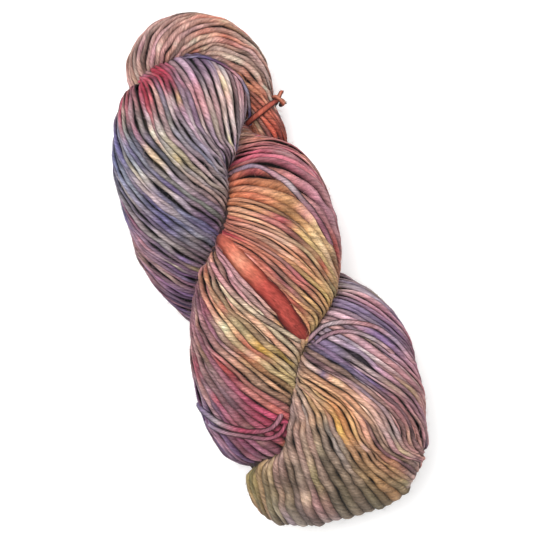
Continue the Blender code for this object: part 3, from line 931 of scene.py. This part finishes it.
def buildCore(everyStrand, tubes):
    # what is seen down between the strands: more of the same yarn, darkened with painted shade
    mesh = frame["nodes"]["hank"].data.copy()
    core = asObject("hank_inside", mesh)
    work = bmesh.new()
    work.from_mesh(mesh)
    bmesh.ops.remove_doubles(work, verts=work.verts, dist=1e-5)
    work.normal_update()
    points = np.array([vertex.co for vertex in work.verts]) / mm + hankMiddle
    normals = np.array([vertex.normal for vertex in work.verts])
    points = points - normals * inside["depth"]
    for _ in range(inside["rounds"]):
        # it goes down into the creases as far as the strands do
        measure = np.min([measureIn(tube, points) for tube in tubes], axis=0)
        points = points - normals * (inside["step"] * (measure > inside["within"]))[:, None]
    for vertex, point in zip(work.verts, points):
        vertex.co = (point - hankMiddle) * mm
    work.to_mesh(mesh)
    work.free()
    # each point takes the dye of the strand that is nearest
    points = np.concatenate([s["centre"].reshape(-1, 3) for s in everyStrand])
    dyed = np.concatenate([s["dye"].reshape(-1, 3) for s in everyStrand])
    tree = kdtree.KDTree(len(points))
    for i, point in enumerate((points - hankMiddle) * mm):
        tree.insert(point, i)
    tree.balance()
    nearest = [tree.find(vertex.co)[1] for vertex in mesh.vertices]
    colour = np.concatenate([dyed[nearest], np.zeros((len(nearest), 1))], axis=1)
    putDye(mesh, colour, np.array([vertex.co for vertex in mesh.vertices]) / mm)
    return finishPiece(core, woolMaterial("shaded wool", paintedShade=inside["shade"]))


# the strands that lie loose across the others
# places: x and y along the strand; radius: its radius along it; lift: how far it stands up
# dyes: along it; plied: how much its plies show; the other values stand in for those of loose
looseStrands = [
    {
        "places": [(4, -43), (8, -40.5), (19, -37.5), (30, -40), (41.6, -46.8), (51, -61), (55, -74)],
        "radius": [1.5],
        "lift": 0.9,
        "dyes": ["mauve", "silver", "rose", "lilac", "rose"],
    },
    {
        "places": [(6, -46), (13, -43), (22, -42.5), (31, -46), (40, -54), (47, -66)],
        "radius": [1.3],
        "lift": 0.5,
        "dyes": ["lilac", "mauve", "silver", "rose"],
    },
    {
        "places": [
            (-61, -54), (-56, -62), (-50, -69), (-40.3, -75.5), (-30.5, -78.5), (-23, -76), (-18, -71),
        ],
        "radius": [1.6],
        "lift": 0.9,
        "dyes": ["violet", "silver", "raspberry", "rosewood", "mauve"],
    },
    {
        "places": [(-60, -64), (-53, -71), (-46, -75.5), (-38, -80), (-29.5, -83), (-22, -80.5), (-18, -76)],
        "radius": [1.4],
        "lift": 0.5,
        "dyes": ["slate", "mauve", "rosewood", "raspberry"],
    },
    {
        "places": [(-28, 17), (-26, 6), (-21, -8), (-13, -21), (-4, -33), (4, -43)],
        "radius": [1.6],
        "lift": 0.5,
        "dyes": ["rose", "rose", "shell", "cream", "greige", "cream", "greige"],
    },
    {
        "places": [(-8, 123), (0, 121), (9, 116), (17, 107), (21, 97), (19, 84), (16, 74)],
        "radius": [1.0],
        "lift": 0.3,
        "dyes": ["plum", "slate", "violet", "plum", "rose", "slate", "silver", "violet", "slate"],
    },
    {
        "places": [
            (-4, 55.5), (2, 56.2), (8, 56.0), (14, 53), (19, 47.6),
            (23.5, 40.5), (29.5, 27), (33.5, 13), (35, -1),
        ],
        "radius": [1.5, 1.9, 1.7, 1.6],
        "lift": 0.1,
        "dyes": ["mauve", "lilac", "mauve", "silver", "mauve", "rosewood", "mauve"],
    },
    # the broad flat strip of slack yarn
    {
        "places": [
            (-19, 26), (-16, 19), (-13.4, 12), (-10, 2.8),
            (-4.6, -9.7), (-0.4, -21.7), (2.2, -31.6), (5, -41),
        ],
        "radius": [4.2, 5.4, 5.8, 6.0, 6.0, 5.8, 4.5],
        "lift": -0.25,
        "dyes": ["ember", "coral", "salmon", "coral", "brick", "brick", "brick", "ember", "ember"],
        "plied": 0.0,
        "fibreTurn": 150.0,
        "unevenness": 0.02,
        "evened": 40,
    },
]
loose = {
    "seed": 31,
    "step": 1.2,
    "sides": 14,
    "sink": 0.35,  # share of its radius that a strand lies down between those below
    "tucked": 6.0,
    "tuckDepth": 5.0,
    "wobble": (0.22, 0.22, 0.12),
    "wobbleWave": 7.0,
    "unevenness": 0.1,
    "unevenWave": 4.5,
    "evened": 6,
    "dyeDrift": [(0.06, 12.0)],
    "feelers": ((0, 0), (0.9, 0), (-0.9, 0), (0, 0.9), (0, -0.9)),
}


def treeOf(pieces):
    points, faces = [], []
    for piece in pieces:
        first = len(points)
        points += [tuple(vertex.co) for vertex in piece.data.vertices]
        faces += [tuple(first + i for i in polygon.vertices) for polygon in piece.data.polygons]
    return BVHTree.FromPolygons(points, faces)


def heightsBelow(tree, points):
    # the highest point of the strands under each x and y, over a little width
    heights = []
    for x, y in points:
        found = []
        for asideX, asideY in loose["feelers"]:
            start = Vector(((x + asideX - hankMiddle[0]) * mm, (y + asideY - hankMiddle[1]) * mm, 0.2))
            hit = tree.ray_cast(start, Vector((0, 0, -1)))[0]
            if hit is not None:
                found.append(hit.z / mm + hankMiddle[2])
        heights.append(max(found, default=floorHeight))
    return np.array(heights)


def buildLoose(pieces, material):
    tree = treeOf(pieces)
    rng = np.random.default_rng(loose["seed"])
    runs = []
    for number, strand in enumerate(looseStrands):
        values = {**loose, "plied": 1.0, "fibreTurn": lay["fibreTurn"], **strand}
        centre = smoothRows([(x, y, 0.0) for x, y in values["places"]], loose["step"])
        along = lengthsAlong(centre)
        heights = smoothed(heightsBelow(tree, centre[:, :2])[:, None], values["evened"])[:, 0]
        radius = np.interp(along / along[-1], np.linspace(0, 1, len(values["radius"])), values["radius"])
        fromEnd = np.minimum(along, along[-1] - along)
        tuck = (loose["tuckDepth"] + radius) * (1 - smoothstep(fromEnd, 0.0, loose["tucked"]))
        centre[:, 2] = heights + radius * (values["lift"] - loose["sink"]) - tuck
        centre = centre + waves(rng, along, 3, loose["wobbleWave"]) * np.array(loose["wobble"])
        width = radius * (1 + values["unevenness"] * waves(rng, along, 1, loose["unevenWave"])[:, 0])
        width[[0, -1]] *= 0.4
        colour = dyeRamp(values["dyes"], np.linspace(0.0, 1.0, len(centre)))
        colour = colour * (1 + drift(rng, along, 1, loose["dyeDrift"]))
        offset = 500.0 + 60.0 * number  # sets its fibres apart from the others'
        up = np.array([0.0, 0.0, 1.0])
        runs.append(makeRun(centre, width, up, colour, values["plied"], offset, along, values["fibreTurn"]))
    return finishPiece(roundStrands("loose_strands", runs, loose["sides"]), material)


# the stray fibres
fuzz = {
    "seed": 77,
    "count": 8500,
    "radius": 0.055,
    "length": (1.5, 5.0),
    # the fibres start where a strand faces no lower and is no thinner than this
    "lowest": -0.55,
    "thinnest": 1.1,
    "aside": 0.8,  # how far from the top of its strand a fibre starts, in radians and in millimetres
    "rootDepth": 0.92,
    "stray": 0.9,
    "stands": 0.32,
    "leastStands": 0.06,
    "lean": 0.62,
    "curl": 0.3,
    "steps": (0.0, 0.35, 0.7, 1.0),
    "corners": 3,
    "thinner": 0.6,
    "lighter": 1.15,
    "paler": 0.03,
}


def buildFuzz(everyStrand, material):
    rng = np.random.default_rng(fuzz["seed"])
    count, corners, steps = fuzz["count"], fuzz["corners"], fuzz["steps"]
    values = []
    for strands in everyStrand:
        seen = strands["shown"] & (strands["outward"][..., 2] > fuzz["lowest"])
        seen = seen & (strands["radius"] > fuzz["thinnest"])
        values.append([strands[key][seen] for key in ("centre", "outward", "forward", "radius", "dye")])
    values = [np.concatenate(column) for column in zip(*values)]
    picked = rng.integers(0, len(values[0]), count)
    centre, outward, forward, radius, dyed = [column[picked] for column in values]
    side = np.cross(forward, outward)
    # each fibre leaves the strand low, curls and lies back
    aside = rng.uniform(-fuzz["aside"], fuzz["aside"], (count, 1))
    centre = centre + forward * rng.uniform(-fuzz["aside"], fuzz["aside"], (count, 1))
    away = outward * np.cos(aside) + side * np.sin(aside)
    root = centre + away * radius[:, None] * fuzz["rootDepth"]
    heading = forward * rng.choice([-1.0, 1.0], (count, 1)) + side * rng.normal(0, fuzz["stray"], (count, 1))
    heading = unit(heading)
    length = rng.uniform(*fuzz["length"], (count, 1))
    stands = np.abs(rng.normal(0, fuzz["stands"], (count, 1))) + fuzz["leastStands"]
    curl = np.cross(away, heading) * rng.normal(0, fuzz["curl"], (count, 1))
    rises = [stands * math.sin(math.pi * fuzz["lean"] * share) for share in steps]
    line = [root + length * (heading * t + away * rise + curl * t**2) for t, rise in zip(steps, rises)]
    along = unit(line[-1] - line[0])
    first = unit(np.cross(along, away + 0.01))
    second = np.cross(along, first)
    points = []
    for middle, share in zip(line, steps):
        thin = fuzz["radius"] * (1 - fuzz["thinner"] * share)
        for turn in (2 * math.pi * corner / corners for corner in range(corners)):
            points.append(middle + (first * math.cos(turn) + second * math.sin(turn)) * thin)
    points = np.stack(points, axis=1)
    points[..., 2] = np.maximum(points[..., 2], floorHeight)
    template = []
    for low in range((len(steps) - 1) * corners):
        after = low + 1 if (low + 1) % corners else low + 1 - corners
        template += [(low, after, after + corners), (low, after + corners, low + corners)]
    template += [(2, 1, 0), (9, 10, 11)]
    faces = (np.array(template)[None] + np.arange(count)[:, None, None] * points.shape[1]).reshape(-1, 3)
    light = np.repeat(dyed * fuzz["lighter"] + fuzz["paler"], points.shape[1], axis=0)
    colour = np.concatenate([light, np.zeros((len(light), 1))], axis=1)
    points = points.reshape(-1, 3)
    return finishPiece(makePiece("fuzz", points, faces.tolist(), colour, points), material)


# the short yarn round the loop's leg
tie = {
    "seed": 9,
    "yarn": 1.7,
    "at": (25.2, 82.1, -3.8),
    "halfWidth": 9.6,
    "halfDepth": 7.6,
    "slope": 18.0,
    "steps": 60,
    "bandDyes": ["brick", "coral", "brick", "coral", "brick"],
    # the knot is one more turn of the yarn over the band
    "knot": [
        (32.7, 86.1, -5.6),
        (33.7, 87.1, -2.6),
        (35.1, 86.9, 0.2),
        (36.5, 85.1, 1.0),
        (37.3, 83.3, -0.2),
        (37.1, 82.4, -2.6),
        (35.7, 82.7, -4.6),
    ],
    "knotMiddle": (35.1, 84.7, -2.8),
    "knotYarn": 1.25,
    "knotDyes": ["coral", "salmon", "coral"],
    "ends": [
        {
            "places": [
                (34.9, 84.5, -1.4), (36.5, 86.4, -0.9), (37.8, 87.8, -0.9),
                (38.9, 88.7, -1.4), (39.7, 88.9, -2.2),
            ],
            "dyes": ["coral", "salmon", "coral"],
        },
        {
            "places": [
                (35.8, 85.2, -2.3), (37.4, 84.5, -2.3), (38.3, 83.6, -2.9),
                (38.7, 82.8, -3.4), (38.9, 82.2, -3.9),
            ],
            "dyes": ["coral", "peach", "shell"],
        },
    ],
    "endYarn": 1.3,
    "endThinner": 0.35,
    "plied": 0.3,
    "spacing": 0.5,
    "bandSides": 12,
    "knotSides": 8,
    # how uneven the yarn is: the size of its swings and their wave length
    "unevenBand": (0.05, 5.0),
    "unevenKnot": (0.06, 3.0),
    "unevenEnd": (0.06, 2.5),
    # the fibres that each end frays into
    "tuft": 16,
    "tuftSpread": 0.6,
    "tuftLength": (1.2, 2.4),
    "tuftYarn": 0.14,
    "tuftDepth": 0.8,
}


def tieRun(centre, radius, names, offset, around):
    colour = dyeRamp(names, np.linspace(0.0, 1.0, len(centre)))
    return makeRun(centre, radius, unit(centre - around), colour, tie["plied"], offset)


def buildTie(material):
    rng = np.random.default_rng(tie["seed"])
    slope = math.radians(tie["slope"])
    turn = np.arange(tie["steps"] + 1) * 2 * math.pi / tie["steps"]
    aside = np.array([math.cos(slope), math.sin(slope), 0.0]) * tie["halfWidth"]
    deep = np.array([0.0, 0.0, tie["halfDepth"]])
    middle = np.array(tie["at"])
    centre = middle + np.cos(turn)[:, None] * aside + np.sin(turn)[:, None] * deep

    def unevenYarn(line, radius, swing):
        return radius * (1 + drift(rng, lengthsAlong(line), 1, [swing])[:, 0])

    width = unevenYarn(centre, tie["yarn"], tie["unevenBand"])
    width[[0, -1]] = tie["yarn"]
    band = tieRun(centre, width, tie["bandDyes"], 900.0, middle)
    pieces = [finishPiece(roundStrands("tie_band", [band], tie["bandSides"]), material)]
    knotMiddle = np.array(tie["knotMiddle"])
    line = smoothRows(tie["knot"], tie["spacing"])
    width = unevenYarn(line, tie["knotYarn"], tie["unevenKnot"])
    width[[0, -1]] *= 0.5
    runs = [tieRun(line, width, tie["knotDyes"], 930.0, knotMiddle)]
    for end in tie["ends"]:
        line = smoothRows(end["places"], tie["spacing"])
        thinner = 1 - tie["endThinner"] * np.linspace(0.0, 1.0, len(line)) ** 2
        width = unevenYarn(line, tie["endYarn"] * thinner, tie["unevenEnd"])
        width[[0, -1]] *= 0.5
        runs.append(tieRun(line, width, end["dyes"], 950.0, knotMiddle + np.array([0, 0, -6.0])))
        # the end frays into a few fibres
        ahead = unit(line[-1] - line[-5])
        root = line[-2] - ahead * tie["tuftDepth"]
        for _ in range(tie["tuft"]):
            spread = unit(ahead + rng.normal(0, tie["tuftSpread"], 3))
            length = rng.uniform(*tie["tuftLength"])
            fibre = root + spread * length * np.linspace(0, 1, 6)[:, None]
            thin = tie["tuftYarn"] * np.linspace(1.2, 0.6, 6)
            runs.append(tieRun(fibre, thin, end["dyes"][-2:], 980.0, knotMiddle))
    pieces.append(finishPiece(roundStrands("tie_knot", runs, tie["knotSides"]), material))
    return pieces


# floor, light and camera, in metres
stage = {
    "floorSize": 24.0,
    "floorShade": 0.9,
    "floorGlow": 0.3,
    "skyLight": 0.4,
    # lamps: place, size, power
    "lamps": {"key light": ((-0.4, 0.65, 1.7), 1.3, 33.0), "fill light": ((0.75, -0.2, 1.6), 1.8, 11.5)},
    "lensLength": 120.0,
    "sensorWidth": 36.0,
    "seenWidth": 0.2878,
    "seenHeight": 0.034,
    "looksAt": (0.0020, -0.0013),
    "turn": -20.0,
}


def buildStage():
    bpy.ops.mesh.primitive_plane_add(size=stage["floorSize"], location=(0, 0, 0))
    floor = bpy.context.object
    floor.name = "floor"
    material = bpy.data.materials.new("pale floor")
    material.use_nodes = True
    shader = material.node_tree.nodes["Principled BSDF"]
    shader.inputs["Base Color"].default_value = (*[stage["floorShade"]] * 3, 1)
    shader.inputs["Emission Color"].default_value = (1, 1, 1, 1)
    shader.inputs["Emission Strength"].default_value = stage["floorGlow"]
    shader.inputs["Roughness"].default_value = 0.95
    shader.inputs["Specular IOR Level"].default_value = 0.0
    floor.data.materials.append(material)

    world = bpy.data.worlds.new("studio")
    bpy.context.scene.world = world
    world.use_nodes = True
    background = world.node_tree.nodes["Background"]
    background.inputs["Color"].default_value = (1, 1, 1, 1)
    background.inputs["Strength"].default_value = stage["skyLight"]

    for name, (place, size, power) in stage["lamps"].items():
        data = bpy.data.lights.new(name, "AREA")
        data.shape = "DISK"
        data.size = size
        data.energy = power
        lamp = asObject(name, data)
        lamp.location = place
        lamp.rotation_euler = (-Vector(place)).to_track_quat("-Z", "Y").to_euler()

    camera = bpy.data.cameras.new("camera")
    camera.lens = stage["lensLength"]
    camera.sensor_width = stage["sensorWidth"]
    camera.clip_end = 20.0
    distance = stage["seenWidth"] * stage["lensLength"] / stage["sensorWidth"]
    holder = asObject("camera", camera)
    holder.location = (*stage["looksAt"], stage["seenHeight"] + distance)
    holder.rotation_euler = (0, 0, math.radians(stage["turn"]))
    bpy.context.scene.camera = holder
    bpy.context.scene.view_settings.view_transform = "Standard"


for obj in bpy.data.objects:
    obj.select_set(False)
buildStage()
print("stage ready")
strandWool = woolMaterial("dyed wool")
hankPieces, everyStrand, tubes = buildStrands(strandWool)
print("strands ready")
core = buildCore(everyStrand, tubes)
print("inside ready")
hankPieces.append(buildLoose(hankPieces, strandWool))
print("loose strands ready")
hankPieces.append(buildFuzz(everyStrand, woolMaterial("stray fibres")))
print("stray fibres ready")
tiePieces = buildTie(strandWool)
for piece in hankPieces + [core]:
    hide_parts("hank")
for piece in tiePieces:
    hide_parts("tie")
print("tie ready")
